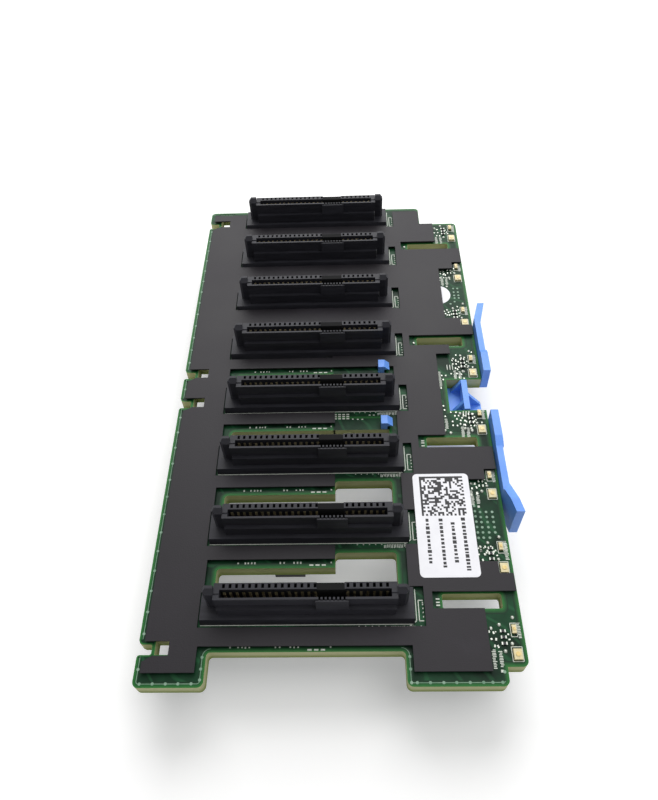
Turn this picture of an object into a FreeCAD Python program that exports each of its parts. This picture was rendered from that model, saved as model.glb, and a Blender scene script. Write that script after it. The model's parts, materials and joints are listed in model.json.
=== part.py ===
import FreeCAD, Part
import operator
import os
from types import SimpleNamespace
import Sketcher

# Drive backplane board, in millimetres, +Z up. The board lies flat with its eight drive
# receptacles facing up and rests on the cable sockets and headers of its underside.
# Each sub-part is drawn in the board's own coordinates: X from the centre line of the
# receptacle column, Y from the contact row of the first receptacle, Z from the board's top
# face. Its Placement then moves it into the frame of the whole part, whose origin is the
# centre of the overall box, at the height that the part rests on.

rowCount = 8
mainPowerCount = 15
mainSignalCount = 7
secondaryCount = 7
# How far in from both sides the middle of a quarter round lies, for a radius of one.
quarterCut = 1 - 0.5 ** 0.5
# A cut that opens an edge starts this far outside it.
cutOver = 1

sizes = {
    # Board
    "boardThick": 3.4,
    "leftMargin": 11.7,
    "rightMargin": 21.0,
    "tabReach": 16.8,
    "recessReach": 10.3,
    "recessOutLeft": 0.25,
    "recessOutRight": 0.65,
    "topReach": 3.8,
    "boardRound": 1.2,
    "tabStepWide": 4.1,
    "tabStepTall": 3.5,
    "topStepWide": 10.8,
    "topStepTall": 7.7,
    # Rows of receptacles and the air openings between them
    "rowPitch": 17.4,
    "openingClear": 0.5,
    "openingDeep": 4.5,
    "openingDeeper": 7.8,
    "openingInLeft": 2.1,
    "openingInRight": 2.8,
    "openingStep": 5.6,
    "openingRound": 0.8,
    # Notches that hang the board on the chassis hooks
    "hookNotchDeep": 6.3,
    "hookMouthTall": 2.0,
    "hookMouthRound": 0.4,
    "hookNearLip": 0.5,
    "hookFarLip": 0.9,
    "hookWeb": 0.65,
    "hookWindowLong": 2.9,
    "hookWindowFirst": 2.9,
    "hookWindowMiddle": 4.3,
    "hookWindowLast": 5.9,
    "hookFromTab": 6.1,
    "hookBelowRow": 3.1,
    "hookAboveRow": 6.2,
    "hookFromTop": 7.5,
    # Through slots on the right
    "slotLong": 11.9,
    "slotTall": 3.1,
    "slotInset": 3.3,
    "slotRound": 0.5,
    "slotFirst": -0.5,
    "slotSecond": 2.8,
    "slotThird": -0.2,
    "slotFourth": 2.7,
    # Receptacle housing
    "flangeLong": 42.6,
    "flangeThick": 1.75,
    "flangeFront": 5.0,
    "flangeBack": 1.9,
    "flangeDraft": 0.45,
    "waistLong": 35.2,
    "waistFront": 3.65,
    "waistBack": 1.2,
    "waistHigh": 4.5,
    "rimLong": 35.7,
    "rimFront": 2.8,
    "rimBack": 0.55,
    "rimHigh": 7.85,
    "rimStep": 0.2,
    "cavityLong": 33.3,
    "cavityFront": 2.35,
    "cavityBack": 0.8,
    "cavityFloor": 2.2,
    "gateWide": 5.4,
    "gateMiddle": 4.9,
    "gateDeep": 2.6,
    "bulgeWide": 6.4,
    "bulgeMiddle": 5.17,
    "bulgeHigh": 7.35,
    "bulgeFront": 3.2,
    "bulgeDraft": 0.5,
    "postWide": 2.25,
    "postFront": 1.9,
    "postBack": 0.3,
    "postHigh": 8.8,
    "postChamfer": 0.7,
    "postLead": 1.0,
    "postSideLead": 0.7,
    # Contacts and the chambers that they spring back into
    "mainPitch": 1.27,
    "mainPowerStart": -15.875,
    "mainSignalStart": 8.255,
    "chamberWide": 0.55,
    "chamberTall": 0.85,
    "chamberDeep": 3.0,
    "bridge": 0.3,
    "secondaryPitch": 0.8,
    "secondaryWide": 0.4,
    "secondaryTall": 0.5,
    "contactWide": 0.5,
    "secondaryContactWide": 0.34,
    "contactThick": 0.22,
    "contactHigh": 4.7,
    "contactReach": 0.34,
    "contactClear": 0.05,
    # Insulating film
    "filmGap": 0.6,
    "filmThick": 0.35,
    "filmSide": 1.4,
    "filmEnd": 2.5,
    "filmRecess": 0.9,
    "filmTabLeft": 2.0,
    "filmTabRight": 2.0,
    "filmClear": 0.4,
    "filmFront": 0.75,
    "filmSlotClear": 0.2,
    "filmSlotMark": 2.0,
    "filmHookTall": 2.4,
    "filmHookCut": 1.1,
    "filmStripStart": 8.5,
    "filmMarkWide": 2.1,
    "filmMarkTall": 2.4,
    "filmRight": 7.1,
    "filmTongue": 0.3,
    "filmLightClear": 1.3,
    "filmThirdZone": 6.0,
    "filmClipSide": 10.7,
    "filmClipTall": 27.0,
    "filmTop": 2.5,
    "filmStep": 0.9,
    # Indicator lights
    "activityWide": 0.8,
    "activityLong": 1.6,
    "statusWide": 1.6,
    "statusLong": 2.0,
    "ledHigh": 0.7,
    "ledInset": 1.9,
    "ledActivity": 6.3,
    "ledStatus": 11.1,
    # Small surface parts
    "capacitorLong": 1.6,
    "capacitorWide": 0.8,
    "edgeCapacitorBelow": 3.0,
    "edgeCapacitorFromTab": 4.0,
    "stripCapacitorBelow": 7.0,
    "stripCapacitorLeft": 12.0,
    "resistorLong": 1.0,
    "resistorWide": 0.5,
    "resistorHigh": 0.4,
    "resistorSpacing": 1.2,
    "resistorBelow": 7.8,
    "resistorFromLight": 2.2,
    # Labels
    "labelThick": 0.1,
    "labelWide": 12.4,
    "labelLong": 24.5,
    "labelFromRow": 4.1,
    "labelRound": 1.0,
    "roundLabelRadius": 3.6,
    "roundLabelInset": 8.2,
    # Blue bracket on the right edge
    "bracketGap": 0.2,
    "bracketBelow": 0.3,
    "bracketPlate": 1.6,
    "armWall": 1.5,
    "armHigh": 2.6,
    "blockWall": 1.8,
    "blockHigh": 3.2,
    "blockSlope": 2.6,
    "lowerBlockFromClip": 2.2,
    "lowerBlockLong": 7.3,
    "upperBlockLong": 7.2,
    "upperRailFromClip": 1.6,
    "lowerArmLong": 20.4,
    "upperArmLong": 16.8,
    "lowerFlareLong": 6.2,
    "upperFlareLong": 5.4,
    "flareLag": 1.8,
    "flareOut": 1.5,
    "flareWall": 1.8,
    "flareTipHigh": 4.5,
    "clipNotchBelowRow": 5.2,
    "clipNotchLong": 9.6,
    "clipNotchDeep": 8.8,
    "clipWall": 1.4,
    "clipInset": 3.6,
    "clipHigh": 0.3,
    "gussetThick": 0.9,
    "leftGussetWide": 2.3,
    "leftGussetFromNear": 2.7,
    "rightGussetFromNear": 4.9,
    "rightGussetWide": 3.5,
    "catchLong": 2.4,
    "catchWall": 1.5,
    "catchLip": 1.3,
    "catchHigh": 1.2,
    # Underside
    "underHigh": 10.6,
    "socketLong": 22.0,
    "socketWide": 9.5,
    "socketWall": 0.4,
    "socketClear": 0.1,
    "socketRim": 1.0,
    "socketDeep": 7.6,
    "tongueLong": 16.0,
    "tongueWide": 2.4,
    "tongueHigh": 6.4,
    "upperSocketInset": 15.3,
    "upperSocketAbove": 1.0,
    "lowerSocketInset": 13.3,
    "lowerSocketAbove": -0.4,
    "headerWall": 1.0,
    "headerDeep": 8.2,
    "headerPinWide": 0.8,
    "headerPinHigh": 6.6,
    "headerPinPitch": 3.0,
    "powerHeaderWide": 9.6,
    "powerHeaderLong": 23.0,
    "powerHeaderInset": 6.3,
    "powerHeaderAbove": 4.5,
    "signalHeaderWide": 6.2,
    "signalHeaderLong": 17.0,
    "signalHeaderInset": 6.0,
    "signalHeaderAbove": 4.6,
    "controllerSide": 10.0,
    "controllerHigh": 1.4,
    "controllerLeft": 8.0,
    "flashLong": 6.4,
    "flashWide": 4.4,
    "flashHigh": 1.5,
    "flashClear": 0.1,
    "flashLeft": 4.1,
    "inductorSide": 7.0,
    "inductorHigh": 4.0,
    "inductorLeft": 10.0,
    "bulkLong": 3.2,
    "bulkWide": 2.5,
    "bulkHigh": 2.2,
}

document = FreeCAD.newDocument("DriveBackplane")
sheet = document.addObject("Spreadsheet::Sheet", "Sizes")
for line, (name, number) in enumerate(sizes.items(), start=1):
    sheet.set(f"A{line}", name)
    sheet.set(f"B{line}", str(number))
    sheet.setAlias(f"B{line}", name)
document.recompute()


class Size:
    # A length, and the sheet expression that keeps it bound to the driving dimensions.
    def __init__(self, value, text):
        self.value = value
        self.text = text

    def __add__(self, other):
        return joined(self, "+", other)

    def __radd__(self, other):
        return joined(other, "+", self)

    def __sub__(self, other):
        return joined(self, "-", other)

    def __rsub__(self, other):
        return joined(other, "-", self)

    def __mul__(self, other):
        return joined(self, "*", other)

    def __rmul__(self, other):
        return joined(other, "*", self)

    def __truediv__(self, other):
        return joined(self, "/", other)

    def __neg__(self):
        return joined(0, "-", self)


arithmetic = {"+": operator.add, "-": operator.sub, "*": operator.mul, "/": operator.truediv}


def asSize(thing):
    if isinstance(thing, Size):
        return thing
    return Size(thing, f"({thing})")


def joined(left, sign, right):
    first = asSize(left)
    second = asSize(right)
    value = arithmetic[sign](first.value, second.value)
    return Size(value, f"({first.text} {sign} {second.text})")


s = SimpleNamespace(**{name: Size(float(sheet.get(name)), f"Sizes.{name}") for name in sizes})


def rowAt(row):
    return s.rowPitch * row


# Places that several sub-parts share
flangeEnd = s.flangeLong / 2
boardLeft = -(flangeEnd + s.leftMargin)
boardRight = flangeEnd + s.rightMargin
boardNear = -s.tabReach
lastRow = rowAt(rowCount - 1)
boardFar = lastRow + s.topReach
boardUnder = -s.boardThick
restPlane = boardUnder - s.underHigh
filmTopFace = s.filmGap + s.filmThick
bracketInner = boardRight + s.bracketGap
flareOuter = bracketInner + s.flareOut + s.flareWall
plateTop = boardUnder - s.bracketBelow
plateUnder = plateTop - s.bracketPlate
openingLeft = -(flangeEnd - s.openingInLeft)
openingRight = flangeEnd - s.openingInRight
openingNear = s.flangeBack + s.openingClear
clipNear = rowAt(3) - s.clipNotchBelowRow
clipFar = clipNear + s.clipNotchLong
slotMiddle = boardRight - s.slotInset - s.slotLong / 2
slotPlaces = [
    rowAt(0) + s.slotFirst,
    rowAt(2) + s.slotSecond,
    rowAt(4) + s.slotThird,
    rowAt(6) + s.slotFourth,
]
hookDeep = boardLeft + s.hookNotchDeep
hookWindowLeft = hookDeep - s.hookWindowLong
hooks = [
    (boardNear + s.hookFromTab, s.hookWindowFirst),
    (rowAt(3) - s.hookBelowRow, s.hookWindowMiddle),
    (rowAt(3) + s.hookAboveRow, s.hookWindowMiddle),
    (boardFar - s.hookFromTop, s.hookWindowLast),
]
lightMiddle = boardRight - s.ledInset

# The frame's origin, seen from the board's own coordinates
frameX = -(boardLeft + flareOuter) / 2
frameY = -(boardNear + boardFar) / 2
frameZ = -restPlane


# Drawing helpers

def newBody(label, row=0, like=None):
    # A body may start as a whole copy of another, in its own place.
    body = document.addObject("PartDesign::Body", label)
    body.Label = label
    if like is not None:
        body.BaseFeature = like
    body.setExpression("Placement.Base.x", frameX.text)
    body.setExpression("Placement.Base.y", (frameY + s.rowPitch * row).text)
    body.setExpression("Placement.Base.z", frameZ.text)
    return body


def originPlane(body, role):
    return [item for item in body.Origin.OriginFeatures if item.Role == role][0]


def unit(start, end):
    return (end > start + 1e-9) - (end < start - 1e-9)


def cornerStops(before, corner, after):
    # Where the outline enters and leaves a corner: one point, or both ends of its round.
    x, y = corner[:2]
    if len(corner) == 2:
        return [(x, y)]
    radius = corner[2]
    inX = unit(before[0].value, x.value)
    inY = unit(before[1].value, y.value)
    outX = unit(x.value, after[0].value)
    outY = unit(y.value, after[1].value)
    return [(x - radius * inX, y - radius * inY), (x + radius * outX, y + radius * outY)]


def vector(point):
    return FreeCAD.Vector(point[0].value, point[1].value, 0)


def cornerArc(entry, leave, corner, radius):
    # A quarter round whose centre lies across from the corner point.
    middle = vector(entry) + vector(leave) - vector(corner)
    circle = Part.Circle(middle, FreeCAD.Vector(0, 0, 1), radius.value)
    first = circle.parameter(vector(entry))
    last = circle.parameter(vector(leave))
    turnsLeft = (vector(corner) - vector(entry)).cross(vector(leave) - vector(corner)).z > 0
    if turnsLeft:
        return Part.ArcOfCircle(circle, first, last), (1, 2)
    return Part.ArcOfCircle(circle, last, first), (2, 1)


def drawLoop(sketch, corners):
    corners = [(asSize(c[0]), asSize(c[1])) + tuple(c[2:]) for c in corners]
    count = len(corners)
    edges = []
    places = []
    stops = []
    for at in range(count):
        stops.append(cornerStops(corners[at - 1], corners[at], corners[(at + 1) % count]))
    for at in range(count):
        if len(stops[at]) == 2:
            entry, leave = stops[at]
            arc, ends = cornerArc(entry, leave, corners[at], corners[at][2])
            edges.append((arc, ends))
            places.append((entry, corners[at][2]))
        leave = stops[at][-1]
        edges.append((Part.LineSegment(vector(leave), vector(stops[(at + 1) % count][0])), (1, 2)))
        places.append((leave, None))
    first = sketch.GeometryCount
    sketch.addGeometry([edge for edge, ends in edges], False)
    total = len(edges)
    links = []
    for at in range(total):
        ahead = (at + 1) % total
        links.append(Sketcher.Constraint(
            "Coincident", first + at, edges[at][1][1], first + ahead, edges[ahead][1][0]))
    sketch.addConstraint(links)
    for at in range(total):
        point, radius = places[at]
        end = edges[at][1][0]
        bindPoint(sketch, "DistanceX", first + at, end, point[0])
        bindPoint(sketch, "DistanceY", first + at, end, point[1])
        if radius is not None:
            where = sketch.addConstraint(Sketcher.Constraint("Radius", first + at, radius.value))
            sketch.setExpression(f"Constraints[{where}]", radius.text)


def bindPoint(sketch, kind, edge, end, distance):
    where = sketch.addConstraint(Sketcher.Constraint(kind, -1, 1, edge, end, distance.value))
    sketch.setExpression(f"Constraints[{where}]", distance.text)


def drawCircle(sketch, x, y, radius):
    centre = FreeCAD.Vector(x.value, y.value, 0)
    edge = sketch.addGeometry(Part.Circle(centre, FreeCAD.Vector(0, 0, 1), radius.value), False)
    bindPoint(sketch, "DistanceX", edge, 3, x)
    bindPoint(sketch, "DistanceY", edge, 3, y)
    where = sketch.addConstraint(Sketcher.Constraint("Radius", edge, radius.value))
    sketch.setExpression(f"Constraints[{where}]", radius.text)


def newSketch(body, name, role, loops, start=0):
    sketch = body.newObject("Sketcher::SketchObject", f"{body.Name}_{name}")
    sketch.AttachmentSupport = [(originPlane(body, role), "")]
    sketch.MapMode = "FlatFace"
    sketch.setExpression("AttachmentOffset.Base.z", asSize(start).text)
    for loop in loops:
        drawLoop(sketch, loop)
    return sketch


def addPad(body, name, role, loops, length, start=0, middle=False):
    sketch = newSketch(body, name, role, loops, start)
    return padSketch(body, name, sketch, length, middle)


def padSketch(body, name, sketch, length, middle=False):
    pad = body.newObject("PartDesign::Pad", f"{body.Name}_{name}Pad")
    pad.Profile = sketch
    pad.SideType = "Symmetric" if middle else "One side"
    pad.setExpression("Length", asSize(length).text)
    return pad


def addPocket(body, name, role, loops, length, start=0, middle=False):
    # Cuts against the plane's normal, so downwards from a level plane.
    sketch = newSketch(body, name, role, loops, start)
    pocket = body.newObject("PartDesign::Pocket", f"{body.Name}_{name}Pocket")
    pocket.Profile = sketch
    pocket.SideType = "Symmetric" if middle else "One side"
    pocket.setExpression("Length", asSize(length).text)
    return pocket


def addPattern(body, name, feature, axis, span, count):
    pattern = body.newObject("PartDesign::LinearPattern", f"{body.Name}_{name}Pattern")
    pattern.Originals = [feature]
    pattern.Direction = (feature.Profile[0], [axis])
    pattern.setExpression("Length", asSize(span).text)
    pattern.Occurrences = count
    body.Tip = pattern
    return pattern


def rectangle(left, near, right, far, radius=None):
    corners = [(left, near), (right, near), (right, far), (left, far)]
    if radius is None:
        return corners
    return [corner + (radius,) for corner in corners]


def centred(x, y, wide, tall, radius=None):
    return rectangle(x - wide / 2, y - tall / 2, x + wide / 2, y + tall / 2, radius)


# Board

def hookMouth(near):
    # Where a hook enters: an open notch whose outer corners are eased.
    far = near + s.hookMouthTall
    deep = hookWindowLeft - s.hookWeb
    lowLip = s.hookNearLip
    highLip = s.hookFarLip
    return [
        (boardLeft - cutOver, near - lowLip),
        (boardLeft, near - lowLip),
        (boardLeft + lowLip * quarterCut, near - lowLip * quarterCut),
        (boardLeft + lowLip, near),
        (deep, near, s.hookMouthRound),
        (deep, far, s.hookMouthRound),
        (boardLeft + highLip, far),
        (boardLeft + highLip * quarterCut, far + highLip * quarterCut),
        (boardLeft, far + highLip),
        (boardLeft - cutOver, far + highLip),
    ]


def hookWindow(near, tall):
    # Where the hook's tip drops in, behind a thin web.
    return rectangle(hookWindowLeft, near, hookDeep, near + tall)


def boardOutline():
    turn = s.boardRound
    recess = -s.recessReach
    recessLeft = openingLeft - s.recessOutLeft
    recessRight = openingRight + s.recessOutRight
    stepLeft = boardRight - s.tabStepWide
    topStepLeft = boardRight - s.topStepWide
    return [
        (boardLeft, boardNear, turn),
        (recessLeft, boardNear, turn),
        (recessLeft, recess, s.openingRound),
        (recessRight, recess, s.openingRound),
        (recessRight, boardNear, turn),
        (stepLeft, boardNear, turn),
        (stepLeft, boardNear + s.tabStepTall),
        (boardRight, boardNear + s.tabStepTall, turn),
        (boardRight, boardFar - s.topStepTall, turn),
        (topStepLeft, boardFar - s.topStepTall),
        (topStepLeft, boardFar, turn),
        (boardLeft, boardFar, turn),
    ]


def airOpening():
    # Deeper on the right of the step, where the bracket's catches come through.
    turn = s.openingRound
    far = openingNear + s.openingDeep
    deeper = openingNear + s.openingDeeper
    return [
        (openingLeft, openingNear),
        (openingRight, openingNear),
        (openingRight, deeper, turn),
        (s.openingStep, deeper, turn),
        (s.openingStep, far),
        (openingLeft, far, turn),
    ]


def makeBoard():
    body = newBody("circuit_board")
    addPad(body, "laminate", "XY_Plane", [boardOutline()], s.boardThick, boardUnder)
    mouths = [hookMouth(near) for near, tall in hooks]
    windows = [hookWindow(near, tall) for near, tall in hooks]
    addPocket(body, "hooks", "XY_Plane", mouths + windows, s.boardThick)
    clipNotch = rectangle(boardRight - s.clipNotchDeep, clipNear, boardRight + cutOver, clipFar)
    addPocket(body, "clip", "XY_Plane", [clipNotch], s.boardThick)
    slots = [centred(slotMiddle, place, s.slotLong, s.slotTall, s.slotRound)
             for place in slotPlaces]
    addPocket(body, "slots", "XY_Plane", slots, s.boardThick)
    opening = addPocket(body, "opening", "XY_Plane", [airOpening()], s.boardThick)
    addPattern(body, "openings", opening, "V_Axis", rowAt(rowCount - 2), rowCount - 1)


# Insulating film

def filmOutline():
    left = boardLeft + s.filmSide
    near = boardNear + s.filmEnd
    recess = -s.recessReach + s.filmRecess
    right = boardRight - s.filmTongue
    windowLeft = -(flangeEnd + s.filmClear)
    windowRight = flangeEnd + s.filmMarkWide
    windowNear = lastRow - s.flangeFront - s.filmFront
    far = boardFar - s.filmTop
    stepLeft = boardRight - s.topStepWide - s.filmTongue
    stepFar = boardFar - s.topStepTall - s.filmStep
    return [
        (left, near),
        (openingLeft - s.filmTabLeft, near),
        (openingLeft - s.filmTabLeft, recess),
        (openingRight + s.filmTabRight, recess),
        (openingRight + s.filmTabRight, near),
        (right, near),
        (right, stepFar),
        (stepLeft, stepFar),
        (stepLeft, far),
        (windowRight, far),
        (windowRight, windowNear),
        (windowLeft, windowNear),
        (windowLeft, far),
        (left, far),
    ]


def filmWindow():
    # One row's window: round the housing's base, round the air opening behind it, and on
    # the right through to the next row.
    left = -(flangeEnd + s.filmClear)
    right = flangeEnd + s.filmMarkWide
    near = -(s.flangeFront + s.filmFront)
    openLeft = openingLeft - s.filmTabLeft
    openRight = openingRight + s.filmTabRight
    return [
        (left, near),
        (right, near),
        (right, s.filmMarkTall),
        (openRight, s.filmMarkTall),
        (openRight, near + s.rowPitch),
        (s.openingStep, near + s.rowPitch),
        (s.openingStep, s.filmStripStart),
        (openLeft, s.filmStripStart),
        (openLeft, s.filmMarkTall),
        (left, s.filmMarkTall),
    ]


def filmHook(near):
    # The film clears a hook's way in, and overhangs the far end of its window.
    left = boardLeft + s.filmSide
    edge = near - s.filmClear
    far = near + s.filmHookTall
    return [
        (left - cutOver, edge - s.filmHookCut),
        (left, edge - s.filmHookCut),
        (hookWindowLeft, edge),
        (hookDeep, edge),
        (hookDeep, far),
        (left - cutOver, far),
    ]


def filmZones():
    # Where the film steps back from the right edge and leaves the small parts bare.
    left = boardRight - s.filmRight
    past = boardRight + cutOver
    first, second, third, fourth = slotPlaces
    light = s.filmLightClear
    return [
        rectangle(left, boardNear, past, first),
        rectangle(left, rowAt(1) - s.ledStatus + light, past, rowAt(2) - s.ledActivity - light),
        rectangle(left, third - s.filmThirdZone, past, third),
        rectangle(left, rowAt(5) - s.ledStatus + light, past, rowAt(6) - s.ledActivity - light),
        rectangle(left, fourth, past, boardFar),
    ]


def makeFilm():
    body = newBody("insulating_film")
    past = boardRight + cutOver
    addPad(body, "sheet", "XY_Plane", [filmOutline()], s.filmThick, s.filmGap)
    ways = [filmHook(near) for near, tall in hooks]
    addPocket(body, "hooks", "XY_Plane", ways, s.filmThick, filmTopFace)
    window = addPocket(body, "window", "XY_Plane", [filmWindow()], s.filmThick, filmTopFace)
    addPattern(body, "windows", window, "V_Axis", rowAt(rowCount - 2), rowCount - 1)
    addPocket(body, "zones", "XY_Plane", filmZones(), s.filmThick, filmTopFace)
    clear = s.slotTall / 2 + s.filmSlotClear
    slotSide = slotMiddle - s.slotLong / 2 - s.filmSlotMark
    slots = [rectangle(slotSide, place - clear, past, place + clear) for place in slotPlaces]
    addPocket(body, "slots", "XY_Plane", slots, s.filmThick, filmTopFace)
    clipSide = rectangle(boardRight - s.filmClipSide, slotPlaces[1], past,
                         slotPlaces[1] + s.filmClipTall)
    addPocket(body, "clipSide", "XY_Plane", [clipSide], s.filmThick, filmTopFace)
    # Lights that stand in the film's tongues have clearances of their own.
    lightLeft = lightMiddle - s.statusWide / 2 - s.filmClear
    light = s.filmLightClear
    lights = [rectangle(lightLeft, rowAt(row) - below - light, past, rowAt(row) - below + light)
              for row, below in ((1, s.ledStatus), (2, s.ledActivity),
                                 (5, s.ledStatus), (6, s.ledActivity))]
    addPocket(body, "lights", "XY_Plane", lights, s.filmThick, filmTopFace)


# Receptacle housing: the moulding that takes the most skill

def postPlan(side):
    # A guide post's section, with its outer front corner cut away.
    inner = s.rimLong / 2
    outer = inner + s.postWide
    corners = [
        (inner, -s.postFront),
        (outer - s.postChamfer, -s.postFront),
        (outer, -s.postFront + s.postChamfer),
        (outer, -s.postBack),
        (inner, -s.postBack),
    ]
    return [(corner[0] * side, corner[1]) for corner in corners]


def addPosts(body):
    # The posts stand on the flange's ends, and their tips are cut back at the front and at
    # the outer side so that they lead the plug in.
    outer = s.rimLong / 2 + s.postWide
    top = s.postHigh
    for name, side in (("left", -1), ("right", 1)):
        addPad(body, f"{name}Post", "XY_Plane", [postPlan(side)], top - s.flangeThick,
               s.flangeThick)
    lead = s.postLead
    frontCut = [
        (-s.postFront - lead, top - lead),
        (-s.postFront, top - lead),
        (-s.postFront + lead, top),
        (-s.postFront + lead, top + lead),
        (-s.postFront - lead, top + lead),
    ]
    addPocket(body, "tipFronts", "YZ_Plane", [frontCut], outer * 2 + lead, middle=True)
    sideCuts = []
    for side in (-1, 1):
        corners = [
            (outer + lead, top - lead),
            (outer, top - lead),
            (outer - s.postSideLead, top),
            (outer - s.postSideLead, top + lead),
            (outer + lead, top + lead),
        ]
        sideCuts.append([(corner[0] * side, corner[1]) for corner in corners])
    addPocket(body, "tipSides", "XZ_Plane", sideCuts, s.flangeFront * 2, middle=True)


def mainContactRuns():
    return [("power", s.mainPowerStart, mainPowerCount),
            ("signal", s.mainSignalStart, mainSignalCount)]


def secondaryStart():
    return s.bulgeMiddle - s.secondaryPitch * (secondaryCount - 1) / 2


def makeHousing():
    body = newBody("drive_connector_1")
    flange = [
        (-s.flangeFront, 0),
        (s.flangeBack, 0),
        (s.flangeBack, s.flangeThick),
        (-s.flangeFront + s.flangeDraft, s.flangeThick),
    ]
    addPad(body, "flange", "YZ_Plane", [flange], s.flangeLong, middle=True)
    waist = rectangle(-s.waistFront, s.flangeThick, s.waistBack, s.waistHigh)
    addPad(body, "waist", "YZ_Plane", [waist], s.waistLong, middle=True)
    # The front rim stands a little lower than the contact wall behind it.
    rimSplit = -(s.cavityFront + s.cavityBack) / 2
    rim = [
        (-s.rimFront, s.waistHigh),
        (s.rimBack, s.waistHigh),
        (s.rimBack, s.rimHigh),
        (rimSplit, s.rimHigh),
        (rimSplit, s.rimHigh - s.rimStep),
        (-s.rimFront, s.rimHigh - s.rimStep),
    ]
    addPad(body, "rim", "YZ_Plane", [rim], s.rimLong, middle=True)
    bulge = [
        (-s.bulgeFront - s.bulgeDraft, s.waistHigh),
        (-s.cavityFront, s.waistHigh),
        (-s.cavityFront, s.bulgeHigh),
        (-s.bulgeFront, s.bulgeHigh),
    ]
    addPad(body, "bulge", "YZ_Plane", [bulge], s.bulgeWide, s.bulgeMiddle, middle=True)
    addPosts(body)
    half = s.cavityLong / 2
    cavity = rectangle(-half, -s.cavityFront, half, -s.cavityBack)
    addPocket(body, "cavity", "XY_Plane", [cavity], s.rimHigh - s.cavityFloor, s.rimHigh)
    # Between the power and signal contacts the contact wall is cut down.
    gate = rectangle(s.gateMiddle - s.gateWide / 2, -s.cavityBack - s.bridge,
                     s.gateMiddle + s.gateWide / 2, s.rimBack + s.bridge)
    addPocket(body, "gate", "XY_Plane", [gate], s.gateDeep, s.rimHigh)
    chamberNear = -s.cavityBack + s.bridge
    for name, start, count in mainContactRuns():
        chamber = rectangle(start - s.chamberWide / 2, chamberNear,
                            start + s.chamberWide / 2, chamberNear + s.chamberTall)
        pocket = addPocket(body, f"{name}Chamber", "XY_Plane", [chamber], s.chamberDeep, s.rimHigh)
        addPattern(body, f"{name}Chambers", pocket, "H_Axis", s.mainPitch * (count - 1), count)
    start = secondaryStart()
    slot = rectangle(start - s.secondaryWide / 2, -s.cavityFront - s.secondaryTall,
                     start + s.secondaryWide / 2, -s.cavityFront + s.bridge)
    pocket = addPocket(body, "fineSlot", "XY_Plane", [slot], s.rimHigh - s.cavityFloor, s.rimHigh)
    span = s.secondaryPitch * (secondaryCount - 1)
    addPattern(body, "fineSlots", pocket, "H_Axis", span, secondaryCount)
    return body


# Spring contacts

def springLoop(wall, side):
    # A blade that stands on the cavity's floor against its wall and bows out near the tip.
    floor = s.cavityFloor
    tip = floor + s.contactHigh
    back = wall - s.contactClear * side
    return [
        (back, floor),
        (back, tip - s.contactReach),
        (back - s.contactThick / 2 * side, tip),
        (back - s.contactReach * side, tip - s.contactReach * 2),
        (back - s.contactThick * side, floor),
    ]


def addContacts(body, name, loop, wide, start, pitch, count):
    blade = addPad(body, name, "YZ_Plane", [loop], wide, start, middle=True)
    addPattern(body, f"{name}Row", blade, "N_Axis", pitch * (count - 1), count)


def makeContacts():
    main = newBody("main_contacts_1")
    loop = springLoop(-s.cavityBack, 1)
    for name, start, count in mainContactRuns():
        addContacts(main, name, loop, s.contactWide, start, s.mainPitch, count)
    fine = newBody("secondary_contacts_1")
    loop = springLoop(-s.cavityFront - s.secondaryTall, -1)
    addContacts(fine, "fine", loop, s.secondaryContactWide, secondaryStart(),
                s.secondaryPitch, secondaryCount)
    return main, fine


def makeReceptacles():
    housing = makeHousing()
    main, fine = makeContacts()
    for row in range(1, rowCount):
        newBody(f"drive_connector_{row + 1}", row, like=housing)
        newBody(f"main_contacts_{row + 1}", row, like=main)
        newBody(f"secondary_contacts_{row + 1}", row, like=fine)


# Indicator lights and small parts on the upper face

def addRun(body, name, loops, high, firstRow, count):
    # The same small parts at several rows in turn.
    moved = [[(x, asSize(y) + rowAt(firstRow)) for x, y in loop] for loop in loops]
    pad = addPad(body, name, "XY_Plane", moved, high)
    if count > 1:
        addPattern(body, name, pad, "V_Axis", rowAt(count - 1), count)


def makeLights():
    for label, below, wide, long in [
            ("activity_leds", s.ledActivity, s.activityWide, s.activityLong),
            ("status_leds", s.ledStatus, s.statusWide, s.statusLong)]:
        body = newBody(label)
        light = centred(lightMiddle, -below, wide, long)
        addRun(body, "light", [light], s.ledHigh, 0, rowCount)


def makeSmallParts():
    # Capacitors stand under the film and carry it.
    capacitors = newBody("decoupling_capacitors")
    underFilm = [
        ("left", hookDeep + s.capacitorLong, s.edgeCapacitorBelow),
        ("right", openingRight + s.filmTabRight + s.edgeCapacitorFromTab, s.edgeCapacitorBelow),
        ("stripLeft", -s.stripCapacitorLeft, s.stripCapacitorBelow),
        ("stripMiddle", asSize(0), s.stripCapacitorBelow),
    ]
    for name, x, below in underFilm:
        spot = centred(x, -below, s.capacitorLong, s.capacitorWide)
        addRun(capacitors, name, [spot], s.filmGap, 1, rowCount - 1)
    # Each pair of lights has a column of chip resistors beside it.
    resistors = newBody("chip_resistors")
    column = [centred(lightMiddle - s.resistorFromLight,
                      s.resistorSpacing * place - s.resistorBelow,
                      s.resistorLong, s.resistorWide) for place in (-1, 0, 1)]
    for name, firstRow, count in [("near", 0, 2), ("middle", 3, 3), ("far", 7, 1)]:
        addRun(resistors, name, column, s.resistorHigh, firstRow, count)


# Labels

def makeLabels():
    code = newBody("code_label")
    left = flangeEnd + s.filmMarkWide - s.filmClear
    near = rowAt(0) + s.labelFromRow
    outline = rectangle(left, near, left + s.labelWide, near + s.labelLong, s.labelRound)
    addPad(code, "paper", "XY_Plane", [outline], s.labelThick, filmTopFace)
    dot = newBody("round_label")
    sketch = newSketch(dot, "disc", "XY_Plane", [])
    drawCircle(sketch, boardRight - s.roundLabelInset, rowAt(5), s.roundLabelRadius)
    padSketch(dot, "disc", sketch, s.labelThick)


# Blue moulded bracket

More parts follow.
